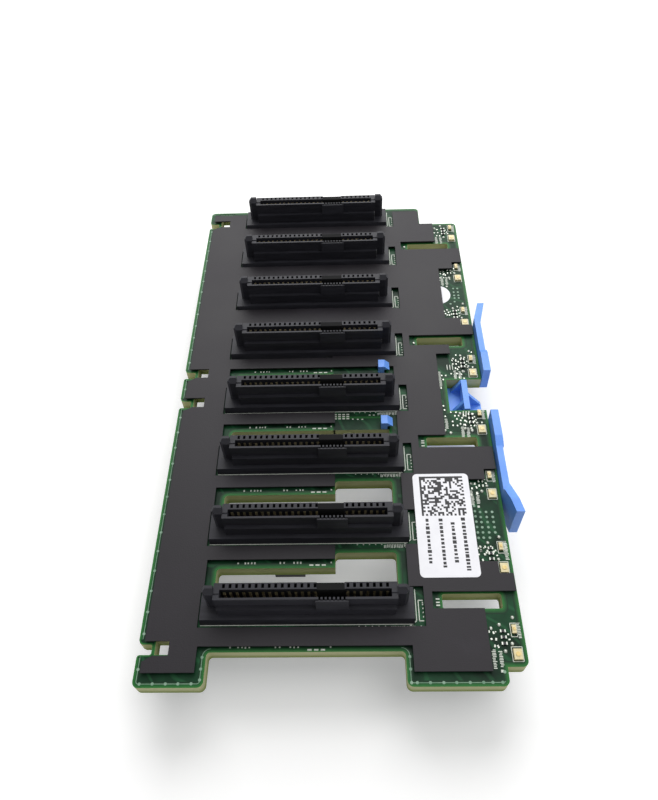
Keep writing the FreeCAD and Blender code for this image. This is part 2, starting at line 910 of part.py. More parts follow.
def addArm(body, name, root, away, long, flare):
    # A spring arm beside the board's edge, whose tip flares out to lead the board in.
    tip = root + long * away
    bend = tip - flare * away
    arm = [
        (bracketInner, root),
        (bracketInner, bend),
        (flareOuter - s.flareWall, tip),
        (flareOuter, tip),
        (bracketInner + s.armWall, bend - s.flareLag * away),
        (bracketInner + s.armWall, root),
    ]
    addPad(body, f"{name}Arm", "XY_Plane", [arm], s.armHigh - plateUnder, plateUnder)
    return bend, tip


def addTallTip(body, bend, tip):
    # A thumb rest: the flare rises above its arm on a slope.
    plan = [
        (bracketInner, bend),
        (flareOuter - s.flareWall, tip),
        (flareOuter, tip),
        (bracketInner + s.armWall, bend + s.flareLag),
    ]
    addPad(body, "tallTip", "XY_Plane", [plan], s.flareTipHigh - s.armHigh, s.armHigh)
    high = s.flareTipHigh + s.flareLag
    slope = [
        (bend + s.flareLag, s.armHigh),
        (bend + s.flareLag, high),
        (bend + (tip - bend) / 2, high),
        (bend + (tip - bend) / 2, s.flareTipHigh),
    ]
    addPocket(body, "tipSlope", "YZ_Plane", [slope], flareOuter - bracketInner, flareOuter)


def addBlock(body, name, profile):
    addPad(body, name, "YZ_Plane", [profile], s.blockWall, bracketInner)


def addCatch(body, name, row):
    # A hook that comes up through an air opening and bears on the board's edge.
    right = openingRight - s.filmClear
    left = right - s.catchWall
    lip = filmTopFace + s.bracketBelow
    profile = [
        (left, plateTop),
        (right, plateTop),
        (right, lip),
        (right + s.catchLip, lip),
        (right, lip + s.catchHigh),
        (left, lip + s.catchHigh),
    ]
    far = rowAt(row) + openingNear + s.openingDeeper - s.openingRound
    addPad(body, name, "XZ_Plane", [profile], s.catchLong, -far)


def gusset(inner, outer):
    # A triangular web from a wall's top down to the plate.
    return [(inner, plateTop), (outer, plateTop), (inner, s.clipHigh)]


def addClip(body, left, right):
    # A stiff wall stands in the board's notch on the plate, and webs brace it on both sides.
    near = clipNear + s.bracketBelow
    far = clipFar - s.bracketBelow
    wall = [
        (left, plateTop),
        (right, plateTop),
        (right, s.clipHigh),
        (left, s.clipHigh),
    ]
    addPad(body, "clipWall", "XZ_Plane", [wall], far - near, -far)
    leftWeb = gusset(left, left - s.leftGussetWide)
    rightWeb = gusset(right, right + s.rightGussetWide)
    thick = s.gussetThick
    addPad(body, "farGusset", "XZ_Plane", [leftWeb], thick, -far)
    addPad(body, "nearGusset", "XZ_Plane", [leftWeb], thick, -(near + s.leftGussetFromNear))
    addPad(body, "rightGusset", "XZ_Plane", [rightWeb], thick, -(near + s.rightGussetFromNear))


def makeBracket():
    body = newBody("edge_bracket")
    armLeft = openingRight - s.filmClear - s.catchWall
    lowCatch = rowAt(2) + openingNear + s.openingDeep
    highCatch = rowAt(3) + openingNear + s.openingDeeper
    lowerRoot = clipNear - s.lowerBlockFromClip
    upperRoot = clipFar + s.bracketBelow
    lowerEnd = lowerRoot - s.lowerBlockLong
    upperEnd = upperRoot + s.upperBlockLong
    upperRail = clipFar + s.upperRailFromClip
    railLeft = boardRight - s.armWall
    railOuter = bracketInner + s.armWall
    clipLeft = boardRight - s.clipNotchDeep + s.clipInset
    clipRight = clipLeft + s.clipWall
    gussetEnd = clipNear + s.bracketBelow + s.rightGussetFromNear
    # The plate is open beside the clip's wall, behind the right web.
    plate = [
        (armLeft, lowCatch),
        (railLeft, lowCatch),
        (railLeft, lowerEnd),
        (railOuter, lowerEnd),
        (railOuter, lowerRoot),
        (clipRight + s.rightGussetWide, lowerRoot),
        (clipRight + s.rightGussetWide, gussetEnd),
        (clipRight, gussetEnd),
        (clipRight, upperRail),
        (railOuter, upperRail),
        (railOuter, upperEnd),
        (railLeft, upperEnd),
        (railLeft, highCatch),
        (armLeft, highCatch),
    ]
    addPad(body, "plate", "XY_Plane", [plate], s.bracketPlate, plateUnder)
    bend, tip = addArm(body, "lower", lowerEnd, -1, s.lowerArmLong, s.lowerFlareLong)
    addTallTip(body, bend, tip)
    addArm(body, "upper", upperEnd, 1, s.upperArmLong, s.upperFlareLong)
    lowerBlock = [
        (lowerEnd - s.blockSlope, plateUnder),
        (lowerRoot, plateUnder),
        (lowerRoot, s.blockHigh),
        (lowerEnd, s.blockHigh),
        (lowerEnd - s.blockSlope, s.armHigh),
    ]
    upperBlock = [
        (upperRoot, plateTop),
        (upperEnd, plateTop),
        (upperEnd, s.armHigh),
        (upperEnd - s.blockSlope / 2, s.blockHigh),
        (upperRoot, s.blockHigh),
    ]
    addBlock(body, "lowerBlock", lowerBlock)
    addBlock(body, "upperBlock", upperBlock)
    addCatch(body, "lowCatch", 2)
    addCatch(body, "highCatch", 3)
    addClip(body, clipLeft, clipRight)


# Underside

def makeSocket(label, middle, along):
    cage = newBody(f"{label}_cage")
    outer = centred(middle, along, s.socketWide, s.socketLong)
    innerWide = s.socketWide - s.socketWall * 2
    innerLong = s.socketLong - s.socketWall * 2
    inner = centred(middle, along, innerWide, innerLong)
    addPad(cage, "shell", "XY_Plane", [outer, inner], s.underHigh, restPlane)
    insert = newBody(f"{label}_insert")
    block = centred(middle, along, innerWide - s.socketClear * 2, innerLong - s.socketClear * 2)
    cavity = centred(middle, along, innerWide - s.socketRim * 2, innerLong - s.socketRim * 2)
    tongue = centred(middle, along, s.tongueWide, s.tongueLong)
    top = s.underHigh - s.socketDeep
    addPad(insert, "floor", "XY_Plane", [block], top, boardUnder - top)
    addPad(insert, "walls", "XY_Plane", [block, cavity], s.socketDeep - s.socketRim,
           restPlane + s.socketRim)
    addPad(insert, "tongue", "XY_Plane", [tongue], s.tongueHigh, boardUnder - top - s.tongueHigh)


def makeHeader(label, middle, along, wide, long, columns, rows):
    shroud = newBody(label)
    outer = centred(middle, along, wide, long)
    inner = centred(middle, along, wide - s.headerWall * 2, long - s.headerWall * 2)
    top = s.underHigh - s.headerDeep
    addPad(shroud, "floor", "XY_Plane", [outer], top, boardUnder - top)
    addPad(shroud, "walls", "XY_Plane", [outer, inner], s.headerDeep, restPlane)
    pins = newBody(f"{label}_pins")
    pitch = s.headerPinPitch
    loops = [centred(middle + pitch * (column - (columns - 1) / 2),
                     along + pitch * (row - (rows - 1) / 2), s.headerPinWide, s.headerPinWide)
             for column in range(columns) for row in range(rows)]
    addPad(pins, "pins", "XY_Plane", loops, s.headerPinHigh, boardUnder - top - s.headerPinHigh)


def makeUnderBlock(label, spots, wide, tall, high):
    body = newBody(label)
    loops = [centred(asSize(x), asSize(y), wide, tall) for x, y in spots]
    addPad(body, "bodies", "XY_Plane", loops, high, boardUnder - high)


def makeUnderside():
    makeSocket("cable_socket_upper", boardRight - s.upperSocketInset, rowAt(5) + s.upperSocketAbove)
    makeSocket("cable_socket_lower", boardRight - s.lowerSocketInset, rowAt(1) + s.lowerSocketAbove)
    makeHeader("power_header", boardLeft + s.powerHeaderInset, rowAt(5) + s.powerHeaderAbove,
               s.powerHeaderWide, s.powerHeaderLong, 2, 7)
    makeHeader("signal_header", boardLeft + s.signalHeaderInset, rowAt(1) + s.signalHeaderAbove,
               s.signalHeaderWide, s.signalHeaderLong, 1, 5)
    # The rest lies between the air openings.
    strip = openingNear + s.openingDeep
    stripMiddle = (strip + s.rowPitch + openingNear) / 2
    makeUnderBlock("controller_chip", [(-s.controllerLeft, rowAt(3) + stripMiddle)],
                   s.controllerSide, s.controllerSide, s.controllerHigh)
    makeUnderBlock("flash_chip", [(-s.flashLeft, strip + s.flashWide / 2 + s.flashClear)],
                   s.flashLong, s.flashWide, s.flashHigh)
    makeUnderBlock("inductor", [(-s.inductorLeft, rowAt(5) + stripMiddle)],
                   s.inductorSide, s.inductorSide, s.inductorHigh)
    makeUnderBlock("bulk_capacitors", [(0, rowAt(row) + stripMiddle) for row in (1, 4, 5)],
                   s.bulkLong, s.bulkWide, s.bulkHigh)


makeBoard()
makeFilm()
makeReceptacles()
makeLights()
makeSmallParts()
makeLabels()
makeBracket()
makeUnderside()
document.recompute()

# Every feature must have worked, every cut must have taken material, and every sub-part
# must be a sound solid.
for item in document.Objects:
    if "Invalid" in item.State or "Error" in item.State:
        raise RuntimeError(f"{item.Label} failed: {item.State}")
    if item.TypeId == "PartDesign::Pocket":
        if item.Shape.Volume >= item.BaseFeature.Shape.Volume - 1e-6:
            raise RuntimeError(f"{item.Label} cuts nothing")
bodies = [item for item in document.Objects if item.TypeId == "PartDesign::Body"]
for body in bodies:
    if body.Shape.isNull() or not body.Shape.isValid():
        raise RuntimeError(f"{body.Label} is not sound")

os.makedirs("parts", exist_ok=True)
for body in bodies:
    body.Shape.exportStep(f"parts/{body.Label}.step")
print(len(bodies), "sub-parts written")
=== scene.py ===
import bpy
import json
import random
from math import radians
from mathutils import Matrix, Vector


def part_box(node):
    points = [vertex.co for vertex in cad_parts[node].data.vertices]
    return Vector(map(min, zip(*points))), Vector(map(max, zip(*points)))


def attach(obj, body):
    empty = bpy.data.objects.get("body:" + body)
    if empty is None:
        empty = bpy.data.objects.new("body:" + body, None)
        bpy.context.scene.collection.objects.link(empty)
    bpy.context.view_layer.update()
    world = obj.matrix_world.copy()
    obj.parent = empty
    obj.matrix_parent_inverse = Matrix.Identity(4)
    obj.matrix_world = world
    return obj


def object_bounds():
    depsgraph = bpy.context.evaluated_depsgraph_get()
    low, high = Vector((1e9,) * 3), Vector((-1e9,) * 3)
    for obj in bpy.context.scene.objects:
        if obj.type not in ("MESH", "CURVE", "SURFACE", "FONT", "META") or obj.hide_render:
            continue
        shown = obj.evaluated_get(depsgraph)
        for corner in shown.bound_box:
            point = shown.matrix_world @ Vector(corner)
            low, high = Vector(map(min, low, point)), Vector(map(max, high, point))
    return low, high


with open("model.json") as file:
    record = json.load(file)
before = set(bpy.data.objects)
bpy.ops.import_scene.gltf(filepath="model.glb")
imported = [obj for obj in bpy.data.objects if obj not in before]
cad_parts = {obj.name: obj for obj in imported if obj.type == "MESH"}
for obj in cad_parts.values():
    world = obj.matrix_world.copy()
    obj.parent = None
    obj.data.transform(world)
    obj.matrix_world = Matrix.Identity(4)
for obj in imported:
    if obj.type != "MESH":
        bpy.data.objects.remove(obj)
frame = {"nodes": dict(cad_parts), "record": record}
nodes = frame["nodes"]
cadLow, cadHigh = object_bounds()
mm = 0.001
dice = random.Random(29)
print("frame loaded:", len(nodes), "nodes")

boardLow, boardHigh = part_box("circuit_board")
deck = boardHigh.z
rowCount = 8
firstRow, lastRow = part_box("drive_connector_1"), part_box("drive_connector_8")
rowPitch = (lastRow[0].y - firstRow[0].y) / (rowCount - 1) / mm
columnX = (firstRow[0].x + firstRow[1].x) / 2
contactRowIn = 5.0  # mm from a receptacle's near side to its contact row
slotY = firstRow[0].y + contactRowIn * mm
closeBy = 0.01 * mm
above = 0.1  # m, over every solid


# Small tools. Places on the board are in mm, from the middle of the first contact row.

def linearColour(code):
    channels = [int(code[at:at + 2], 16) / 255 for at in (1, 3, 5)]
    flat = [c / 12.92 if c <= 0.04045 else ((c + 0.055) / 1.055) ** 2.4 for c in channels]
    return (*flat, 1.0)


def addNode(owner, kind, settings=None, links=None, stops=None):
    node = owner.node_tree.nodes.new(kind)
    for name, value in (settings or {}).items():
        if isinstance(name, str) and hasattr(node, name):
            setattr(node, name, value)
        else:
            node.inputs[name].default_value = value
    for name, socket in (links or {}).items():
        owner.node_tree.links.new(socket, node.inputs[name])
    for at, (place, code) in enumerate(stops or []):
        if at >= len(node.color_ramp.elements):
            node.color_ramp.elements.new(place)
        node.color_ramp.elements[at].position = place
        node.color_ramp.elements[at].color = linearColour(code)
    return node


def newMaterial(name):
    material = bpy.data.materials.new(name)
    material.use_nodes = True
    material.node_tree.nodes.clear()
    place = addNode(material, "ShaderNodeTexCoord").outputs["Object"]
    return material, place


def finishMaterial(material, settings, links):
    shader = addNode(material, "ShaderNodeBsdfPrincipled", settings, links)
    addNode(material, "ShaderNodeOutputMaterial", {}, {"Surface": shader.outputs["BSDF"]})
    return material


def deselectAll():
    if bpy.context.mode != "OBJECT":
        bpy.ops.object.mode_set(mode="OBJECT")
    bpy.ops.object.select_all(action="DESELECT")


def makeActive(piece):
    deselectAll()
    piece.select_set(True)
    bpy.context.view_layer.objects.active = piece


def finishPiece(piece, name, material):
    makeActive(piece)
    bpy.ops.object.transform_apply(location=True, rotation=True, scale=True)
    piece.name = name
    piece.data.materials.clear()
    piece.data.materials.append(material)
    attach(piece, "root")


def spot(x, y, row=0):
    return columnX + x * mm, slotY + (y + row * rowPitch) * mm


def makePlate():
    # A plate one unit wide, long and thick, which stands on its origin
    deselectAll()
    bpy.ops.mesh.primitive_plane_add(size=1, location=(0, 0, 0))
    bpy.ops.object.mode_set(mode="EDIT")
    bpy.ops.mesh.extrude_region_move(TRANSFORM_OT_translate={"value": (0, 0, 1)})
    bpy.ops.object.mode_set(mode="OBJECT")
    return bpy.context.object


def makeDisc(sides=12):
    deselectAll()
    bpy.ops.mesh.primitive_circle_add(vertices=sides, radius=0.5, fill_type="NGON")
    bpy.ops.object.mode_set(mode="EDIT")
    bpy.ops.mesh.extrude_region_move(TRANSFORM_OT_translate={"value": (0, 0, 1)})
    bpy.ops.mesh.select_all(action="SELECT")
    bpy.ops.mesh.normals_make_consistent(inside=False)
    bpy.ops.object.mode_set(mode="OBJECT")
    return bpy.context.object


def makeDome():
    # A drop of solder that has wetted a round pad
    deselectAll()
    bpy.ops.mesh.primitive_uv_sphere_add(segments=12, ring_count=8, radius=0.5)
    bpy.ops.object.mode_set(mode="EDIT")
    bpy.ops.mesh.select_all(action="SELECT")
    bpy.ops.mesh.bisect(plane_co=(0, 0, 0), plane_no=(0, 0, 1), clear_inner=True)
    bpy.ops.object.mode_set(mode="OBJECT")
    bpy.ops.object.shade_smooth()
    return bpy.context.object


def scatter(model, name, places, material):
    # Copies of one shape, each (x, y, z, wide, long, high, turn) in metres and degrees
    copies = []
    for x, y, z, wide, long, high, turn in places:
        copy = model.copy()
        copy.data = model.data.copy()
        bpy.context.scene.collection.objects.link(copy)
        copy.location = (x, y, z)
        copy.scale = (wide, long, high)
        copy.rotation_euler = (0, 0, radians(turn))
        copies.append(copy)
    bpy.data.objects.remove(model)
    deselectAll()
    for copy in copies:
        copy.select_set(True)
    bpy.context.view_layer.objects.active = copies[0]
    bpy.ops.object.join()
    finishPiece(bpy.context.object, name, material)


def isOver(name, x, y):
    return nodes[name].ray_cast((x, y, above), (0, 0, -1))[0]


def showsOnDeck(x, y, wide, long):
    # True where the board carries the whole mark and neither film nor label hides all of it
    corners = [(x + i * wide / 2, y + j * long / 2) for i in (-1, 1) for j in (-1, 1)]
    for corner in corners:
        hit, place = nodes["circuit_board"].ray_cast((*corner, above), (0, 0, -1))[:2]
        if not hit or place.z < deck - closeBy:
            return False
    covers = ("insulating_film", "code_label", "round_label")
    return not all(any(isOver(name, *corner) for name in covers) for corner in corners)


def onDeck(marks, lift, high):
    # Marks (x, y, wide, long, turn, row) in mm become places for scatter
    places = []
    for x, y, wide, long, turn, row in marks:
        left, near = spot(x, y, row)
        if showsOnDeck(left, near, wide * mm, long * mm):
            places.append((left, near, deck + lift * mm, wide * mm, long * mm, high * mm, turn))
    return places


# Materials

def makeSolderMask():
    # FR-4 laminate under green solder mask, printed and cured: dark and glossy over the
    # copper planes, with faint tracks. Its routed sides show pale glass laminate in layers.
    look = {"deep": "#0c2417", "light": "#1a452b", "track": "#2f6a43", "trackShare": 0.35,
            "low": "#77883f", "high": "#c6c69c", "glass": "#8f9560"}
    material, place = newMaterial("solderMaskOverCopper")
    cloud = addNode(material, "ShaderNodeTexNoise", {"Scale": 170.0, "Detail": 3.0},
                    {"Vector": place})
    base = addNode(material, "ShaderNodeValToRGB", {}, {"Fac": cloud.outputs["Fac"]},
                   [(0.35, look["deep"]), (0.68, look["light"])])
    # Tracks 0.3 mm wide about 1.6 mm apart, drawn coarser than real ones so that they show
    tracks = addNode(material, "ShaderNodeTexWave",
                     {"Scale": 100.0, "Distortion": 9.0, "Detail": 1.0, "Detail Scale": 0.7,
                      "bands_direction": "DIAGONAL"}, {"Vector": place})
    line = addNode(material, "ShaderNodeMapRange",
                   {"From Min": 0.9, "From Max": 1.0, "To Max": look["trackShare"]},
                   {"Value": tracks.outputs["Fac"]})
    mask = addNode(material, "ShaderNodeMix", {"data_type": "RGBA", 7: linearColour(look["track"])},
                   {"Factor": line.outputs["Result"], 6: base.outputs["Color"]})
    # The sides are greener low down, with glass layers about 0.4 mm thick
    height = addNode(material, "ShaderNodeSeparateXYZ", {}, {"Vector": place})
    level = addNode(material, "ShaderNodeMapRange",
                    {"From Min": boardLow.z, "From Max": boardHigh.z}, {0: height.outputs["Z"]})
    core = addNode(material, "ShaderNodeValToRGB", {}, {"Fac": level.outputs["Result"]},
                   [(0.1, look["low"]), (0.6, look["high"])])
    layers = addNode(material, "ShaderNodeTexWave",
                     {"Scale": 780.0, "Distortion": 0.8, "Detail": 2.0, "bands_direction": "Z"},
                     {"Vector": place})
    glass = addNode(material, "ShaderNodeMapRange", {"To Max": 0.4},
                    {"Value": layers.outputs["Fac"]})
    side = addNode(material, "ShaderNodeMix",
                   {"data_type": "RGBA", 7: linearColour(look["glass"])},
                   {"Factor": glass.outputs["Result"], 6: core.outputs["Color"]})
    normal = addNode(material, "ShaderNodeNewGeometry")
    facing = addNode(material, "ShaderNodeSeparateXYZ", {},
                     {"Vector": normal.outputs["True Normal"]})
    upright = addNode(material, "ShaderNodeMath", {"operation": "ABSOLUTE"},
                      {0: facing.outputs["Z"]})
    isFace = addNode(material, "ShaderNodeMath", {"operation": "GREATER_THAN", 1: 0.5},
                     {0: upright.outputs["Value"]})
    colour = addNode(material, "ShaderNodeMix", {"data_type": "RGBA"},
                     {"Factor": isFace.outputs["Value"], 6: side.outputs[2],
                      7: mask.outputs[2]})
    rough = addNode(material, "ShaderNodeMapRange", {"To Min": 0.7, "To Max": 0.36},
                    {"Value": isFace.outputs["Value"]})
    bump = addNode(material, "ShaderNodeBump", {"Strength": 0.2, "Distance": 0.0001},
                   {"Height": line.outputs["Result"]})
    return finishMaterial(material, {"IOR": 1.5, "Specular IOR Level": 0.1},
                          {"Base Color": colour.outputs[2], "Roughness": rough.outputs["Result"],
                           "Normal": bump.outputs["Normal"]})


def makeRimMask():
    # Solder mask over bare laminate, with no copper under it: bright green at the milled
    # edge, and darker where the copper planes begin.
    look = {"inner": "#0e2a19", "middle": "#194d26", "outer": "#2c6f32"}
    material, place = newMaterial("solderMaskOverLaminate")
    weave = addNode(material, "ShaderNodeTexNoise", {"Scale": 700.0, "Detail": 2.0},
                    {"Vector": place})
    edge = addNode(material, "ShaderNodeAttribute", {"attribute_name": "edge"})
    wobble = addNode(material, "ShaderNodeMath",
                     {"operation": "MULTIPLY_ADD", 1: 0.3, 2: -0.15},
                     {0: weave.outputs["Fac"]})
    share = addNode(material, "ShaderNodeMath", {"operation": "ADD"},
                    {0: edge.outputs["Fac"], 1: wobble.outputs["Value"]})
    colour = addNode(material, "ShaderNodeValToRGB", {}, {"Fac": share.outputs["Value"]},
                     [(0.08, look["inner"]), (0.45, look["middle"]), (0.95, look["outer"])])
    return finishMaterial(material, {"IOR": 1.5, "Roughness": 0.4, "Specular IOR Level": 0.15},
                          {"Base Color": colour.outputs["Color"]})


def makeTentedCopper():
    # Copper under solder mask, etched: a paler green, painted highlight for its raised edges that
    # catch the light.
    material, place = newMaterial("solderMaskOverVia")
    cloud = addNode(material, "ShaderNodeTexNoise", {"Scale": 900.0, "Detail": 2.0},
                    {"Vector": place})
    colour = addNode(material, "ShaderNodeValToRGB", {}, {"Fac": cloud.outputs["Fac"]},
                     [(0.3, "#6c8f77"), (0.7, "#93ad99")])
    return finishMaterial(material, {"IOR": 1.5, "Roughness": 0.4, "Specular IOR Level": 0.2},
                          {"Base Color": colour.outputs["Color"]})


def makeFilm():
    # Black polycarbonate film, rolled with a fine velvet texture: near black with a purple
    # cast, dull, and a little greyer where it is rubbed.
    look = {"dark": "#151217", "light": "#1d1a1f", "rubbed": "#2c292f"}
    material, place = newMaterial("velvetPolycarbonateFilm")
    patches = addNode(material, "ShaderNodeTexNoise", {"Scale": 60.0, "Detail": 4.0},
                      {"Vector": place})
    base = addNode(material, "ShaderNodeValToRGB", {}, {"Fac": patches.outputs["Fac"]},
                   [(0.32, look["dark"]), (0.6, look["light"]), (0.82, look["rubbed"])])
    # Velvet grain of about 0.3 mm, coarser than the real 0.05 mm so that it shows
    velvet = addNode(material, "ShaderNodeTexNoise", {"Scale": 3200.0, "Detail": 3.0},
                     {"Vector": place})
    rough = addNode(material, "ShaderNodeMapRange", {"To Min": 0.42, "To Max": 0.6},
                    {"Value": patches.outputs["Fac"]})
    bump = addNode(material, "ShaderNodeBump", {"Strength": 0.35, "Distance": 0.00006},
                   {"Height": velvet.outputs["Fac"]})
    return finishMaterial(material, {"IOR": 1.58, "Specular IOR Level": 0.2},
                          {"Base Color": base.outputs["Color"],
                           "Roughness": rough.outputs["Result"],
                           "Normal": bump.outputs["Normal"]})


def makeMouldedBlack(name, dark, light, roughness):
    # Glass-filled polymer, injection moulded: black and satin, with faint flow lines along
    # its length.
    material, place = newMaterial(name)
    stretch = addNode(material, "ShaderNodeMapping", {"Scale": (0.12, 1.0, 1.0)},
                      {"Vector": place})
    flow = addNode(material, "ShaderNodeTexNoise", {"Scale": 1500.0, "Detail": 4.0},
                   {"Vector": stretch.outputs["Vector"]})
    colour = addNode(material, "ShaderNodeValToRGB", {}, {"Fac": flow.outputs["Fac"]},
                     [(0.3, dark), (0.72, light)])
    rough = addNode(material, "ShaderNodeMapRange",
                    {"To Min": roughness - 0.08, "To Max": roughness + 0.1},
                    {"Value": flow.outputs["Fac"]})
    bump = addNode(material, "ShaderNodeBump", {"Strength": 0.25, "Distance": 0.00005},
                   {"Height": flow.outputs["Fac"]})
    return finishMaterial(material, {"IOR": 1.6, "Specular IOR Level": 0.14},
                          {"Base Color": colour.outputs["Color"],
                           "Roughness": rough.outputs["Result"],
                           "Normal": bump.outputs["Normal"]})


def makeMetal(name, dark, light, roughness, grain=700.0):
    # Plated metal, rolled and stamped: a slightly uneven plating that blurs what it mirrors.
    material, place = newMaterial(name)
    plating = addNode(material, "ShaderNodeTexNoise", {"Scale": grain, "Detail": 3.0},
                      {"Vector": place})
    colour = addNode(material, "ShaderNodeValToRGB", {}, {"Fac": plating.outputs["Fac"]},
                     [(0.3, dark), (0.7, light)])
    rough = addNode(material, "ShaderNodeMapRange",
                    {"To Min": roughness - 0.06, "To Max": roughness + 0.1},
                    {"Value": plating.outputs["Fac"]})
    return finishMaterial(material, {"Metallic": 1.0},
                          {"Base Color": colour.outputs["Color"],
                           "Roughness": rough.outputs["Result"]})


def makeMatt(name, dark, light, roughness, grain, ior=1.5):
    # A moulded, fired, printed or coated non-metal whose colour varies a little.
    material, place = newMaterial(name)
    cloud = addNode(material, "ShaderNodeTexNoise", {"Scale": grain, "Detail": 3.0},
                    {"Vector": place})
    colour = addNode(material, "ShaderNodeValToRGB", {}, {"Fac": cloud.outputs["Fac"]},
                     [(0.3, dark), (0.7, light)])
    bump = addNode(material, "ShaderNodeBump", {"Strength": 0.15, "Distance": 0.00004},
                   {"Height": cloud.outputs["Fac"]})
    return finishMaterial(material, {"IOR": ior, "Roughness": roughness},
                          {"Base Color": colour.outputs["Color"],
                           "Normal": bump.outputs["Normal"]})


def makeBlueAcetal():
    # Acetal, injection moulded: an even blue that light enters a little, with a soft sheen.
    material, place = newMaterial("blueAcetal")
    cloud = addNode(material, "ShaderNodeTexNoise", {"Scale": 260.0, "Detail": 3.0},
                    {"Vector": place})
    colour = addNode(material, "ShaderNodeValToRGB", {}, {"Fac": cloud.outputs["Fac"]},
                     [(0.3, "#5a93ee"), (0.7, "#6a9ff4")])
    rough = addNode(material, "ShaderNodeMapRange", {"To Min": 0.36, "To Max": 0.48},
                    {"Value": cloud.outputs["Fac"]})
    return finishMaterial(material,
                          {"IOR": 1.48, "Subsurface Weight": 0.15, "Subsurface Scale": 0.0015,
                           "Subsurface Radius": (0.4, 0.6, 1.0)},
                          {"Base Color": colour.outputs["Color"],
                           "Roughness": rough.outputs["Result"]})


solderMask = makeSolderMask()
rimMask = makeRimMask()
tentedCopper = makeTentedCopper()
filmPlastic = makeFilm()
# Liquid crystal polymer, moulded: near black, with a dull sheen
receptaclePlastic = makeMouldedBlack("glassFilledLcp", "#25252a", "#303036", 0.45)
# Painted shade: the same polymer made black and without sheen, standing for the shade deep between
# walls
keyPaintedShade = makeMouldedBlack("paintedShadeLcp", "#060607", "#0b0b0d", 0.8)
# Nylon, moulded: black, and duller than the polymer
socketPlastic = makeMouldedBlack("nylonSocket", "#131316", "#1e1e22", 0.55)
# Gold, plated thinly over nickel: pale yellow, satin
goldPlate = makeMetal("goldPlating", "#b8a67a", "#ddd0a8", 0.42)
# Tin, plated matt: light grey, with soft reflections
tinPlate = makeMetal("mattTinPlating", "#b9bab8", "#dcddda", 0.42)
# Solder, melted and set: grey, finely grained
solderMetal = makeMetal("reflowedSolder", "#8f938b", "#c3c7be", 0.48, 2600.0)
# Nickel silver, rolled and folded: grey with a slight warmth, and broad blurred reflections
cageSteel = makeMetal("rolledNickelSilver", "#a6a8aa", "#c4c6c6", 0.32, 420.0)
# Epoxy, moulded: black and chalky
epoxyBlack = makeMatt("mouldedEpoxy", "#0f0f12", "#1a1a1e", 0.6, 1500.0)
# Ferrite, pressed and sintered: brown-grey and dry
ferrite = makeMatt("sinteredFerrite", "#2c2a28", "#3a3835", 0.65, 900.0)
# Ceramic, fired: tan and slightly glossy
ceramicTan = makeMatt("firedCeramic", "#7c6244", "#987a55", 0.5, 1200.0)
# Polyamide, moulded: cream, with a soft sheen
lightBody = makeMatt("creamPolyamide", "#cdbf8e", "#e6dab0", 0.4, 1400.0)
# Epoxy, cast clear over a yellow phosphor: yellow and glossy
lensResin = makeMatt("castEpoxyLens", "#d9b866", "#f3dc96", 0.2, 2200.0, 1.54)
# Ink, screen printed: off-white and flat
silkInk = makeMatt("screenPrintedInk", "#c3c9bd", "#dde2d8", 0.6, 2500.0)
# Label paper, coated: white, with a faint cloudiness
labelPaper = makeMatt("coatedLabelPaper", "#e9e9ee", "#f2f2f6", 0.55, 260.0)
# Ink, printed with heat from a ribbon: black and flat
printInk = makeMatt("thermalTransferInk", "#08080a", "#131317", 0.6, 1800.0)
bluePlastic = makeBlueAcetal()
print("materials made")


# The CAD's own solids

dress = {
    "circuit_board": solderMask, "insulating_film": filmPlastic, "edge_bracket": bluePlastic,
    "activity_leds": lightBody, "status_leds": lightBody, "chip_resistors": epoxyBlack,
    "decoupling_capacitors": ceramicTan, "code_label": labelPaper, "round_label": labelPaper,
    "cable_socket_upper_cage": cageSteel, "cable_socket_lower_cage": cageSteel,
    "cable_socket_upper_insert": socketPlastic, "cable_socket_lower_insert": socketPlastic,
    "power_header": socketPlastic, "signal_header": socketPlastic,
    "power_header_pins": tinPlate, "signal_header_pins": tinPlate,
    "controller_chip": epoxyBlack, "flash_chip": epoxyBlack, "inductor": ferrite,
    "bulk_capacitors": ceramicTan,
}
for number in range(1, rowCount + 1):
    dress[f"drive_connector_{number}"] = receptaclePlastic
    dress[f"main_contacts_{number}"] = goldPlate
    dress[f"secondary_contacts_{number}"] = goldPlate
for name, material in dress.items():
    nodes[name].data.materials.clear()
    nodes[name].data.materials.append(material)
print("frame dressed:", len(dress), "of", len(nodes))


# The board's edges: mask over bare laminate, and a guard line with its vias further in

rim = {"outer": 0.3, "inner": 0.8, "lift": 0.012, "guardIn": 0.65, "guardWide": 0.11,
       "guardOff": 0.3, "tabsEnd": -9.6, "leftEnd": -28, "rightStart": 37.4, "via": 0.6,
       "groundVia": 0.58, "viaHigh": 0.02, "hookReach": 2.2, "hookDeep": 4}
hooks = [mount["pos_m"] for mount in frame["record"]["mounts"] if "hook" in mount["name"]]


def copyFace(name, upward):
    # The board's upper face, or its lower one where upward is -1, alone and in edit mode
    piece = bpy.data.objects.new(name, nodes["circuit_board"].data.copy())
    bpy.context.scene.collection.objects.link(piece)
    makeActive(piece)
    bpy.ops.object.mode_set(mode="EDIT")
    bpy.ops.mesh.select_mode(type="FACE")
    bpy.ops.mesh.select_all(action="SELECT")
    bpy.ops.mesh.remove_doubles(threshold=0.000001)
    bpy.ops.mesh.select_all(action="DESELECT")
    bpy.ops.object.mode_set(mode="OBJECT")
    for face in piece.data.polygons:
        face.select = upward * face.normal.z < 0.9
    bpy.ops.object.mode_set(mode="EDIT")
    bpy.ops.mesh.delete(type="FACE")
    bpy.ops.mesh.select_all(action="SELECT")
    bpy.ops.mesh.dissolve_limited(angle_limit=radians(1))
    bpy.ops.mesh.select_all(action="SELECT")
    return piece


def rounded(vertex):
    return tuple(round(c, 6) for c in vertex.co)


def isByHook(face):
    x, y, z = face.center
    isLeft = x < hooks[0][0] + rim["hookDeep"] * mm
    return isLeft and any(abs(y - hook[1]) < rim["hookReach"] * mm for hook in hooks)


